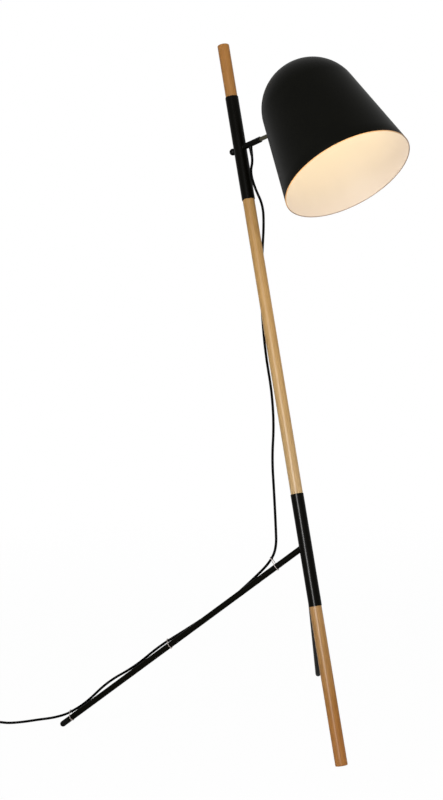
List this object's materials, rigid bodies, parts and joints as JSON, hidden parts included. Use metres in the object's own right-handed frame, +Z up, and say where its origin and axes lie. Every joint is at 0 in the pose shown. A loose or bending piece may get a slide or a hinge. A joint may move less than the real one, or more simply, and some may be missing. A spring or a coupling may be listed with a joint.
{
  "type": "adjustable arm floor lamp",
  "caption": "Leaning wooden pole on slim steel legs, with a domed shade on a short arm that slides along and turns about the pole, clamped by a ball knob.",
  "frame": {"origin": "point where the pole's axis meets the floor", "axes": "+Z up, +X along the floor under the shade, opposite to the pole's lean; one leg goes to -Y and the other to +Y, both towards -X"},
  "size_m": [0.8136, 1.0857, 1.6266],
  "materials": {
    "ash_wood": "clear satin lacquer",
    "black_metal": "fine satin black powder coat",
    "black_shade": "matte black outside, white inside",
    "zinc_steel": "zinc plated",
    "black_screw": "black passivated",
    "satin_rod": "satin",
    "black_plastic": "fine matte",
    "nylon": "natural nylon",
    "clear_tie": "clear nylon",
    "lead_sheath": "matte black sheath",
    "core_insulation": "glossy insulation",
    "white_ceramic": "white insulating moulding",
    "contact_brass": "plain",
    "plated_brass": "nickel plated",
    "opal_glass": "opal"
  },
  "bodies": {
    "stand": {"lower_pole": "ash_wood", "upper_pole": "ash_wood", "pole_dowel_screw": "zinc_steel", "lower_sleeve": "black_metal", "sleeve_screws": "black_screw", "leg_sockets": "black_metal", "leg_studs": "zinc_steel", "leg_plugs": "nylon", "left_leg": "black_metal", "rear_leg": "black_metal", "leg_tips": "black_plastic", "cord_ties": "clear_tie", "lead_hanging": "lead_sheath", "lead_leg": "lead_sheath", "lead_floor": "lead_sheath", "switch_base": "black_plastic", "switch_cover": "black_plastic", "lead_switch_to_coil": "lead_sheath", "lead_coil": "lead_sheath", "lead_coil_to_plug": "lead_sheath", "plug_body": "black_plastic", "plug_pins": "plated_brass"},
    "slider": {"glide_bushes": "black_plastic"},
    "head": {"upper_sleeve": "black_metal", "arm_tube": "black_metal", "arm_bushes": "nylon", "lead_relief": "black_plastic", "arm_wires": "core_insulation", "lead_top": "lead_sheath"},
    "clamp": {"clamp_pad": "nylon"},
    "knob": {"clamp_knob": "black_metal", "clamp_screw": "zinc_steel"},
    "shade_unit": {"arm_rod": "satin_rod", "rod_clips": "zinc_steel", "shade": "black_shade", "shade_outer_seat": "black_metal", "shade_inner_seat": "black_plastic", "shade_nut": "zinc_steel", "lampholder_cap": "black_plastic", "lampholder_core": "white_ceramic", "lampholder_skirt": "black_plastic", "lampholder_thread": "contact_brass", "lampholder_contact": "contact_brass", "bulb_cap": "plated_brass", "bulb_globe": "opal_glass", "rod_wires": "core_insulation"},
    "rocker": {"switch_rocker": "black_plastic"}
  },
  "joints": [
    {"name": "head_height", "type": "slide", "parent": "stand", "child": "slider", "axis": [-0.2857, 0, 0.9583], "range_m": [-0.45, 0.1], "deforming": ["lead_hanging"]},
    {"name": "head_turn", "type": "hinge", "parent": "slider", "child": "head", "pos_m": [-0.41053, 0, 1.37711], "axis": [-0.2857, 0, 0.9583], "range_deg": [-150, 150], "deforming": ["lead_top"]},
    {"name": "shade_swivel", "type": "hinge", "parent": "head", "child": "shade_unit", "pos_m": [-0.41053, 0, 1.37711], "axis": [0.9363, 0.213, 0.2791], "range_deg": [-150, 150]},
    {"name": "clamp_travel", "type": "slide", "parent": "head", "child": "clamp", "axis": [-0.9363, -0.213, -0.2791], "range_m": [0, 0.001]},
    {"name": "knob_turn", "type": "hinge", "parent": "clamp", "child": "knob", "pos_m": [-0.42505, -0.0033, 1.37278], "axis": [-0.9363, -0.213, -0.2791], "range_deg": [0, 360]},
    {"name": "switch_rock", "type": "hinge", "parent": "stand", "child": "rocker", "pos_m": [-0.723, -0.56398, 0.015], "axis": [-0.866, 0.5, 0], "range_deg": [0, 14]}
  ],
  "couplings": [
    {"joint": "knob_turn", "follows": "clamp_travel", "rad_per_m": 6283.2}
  ]
}
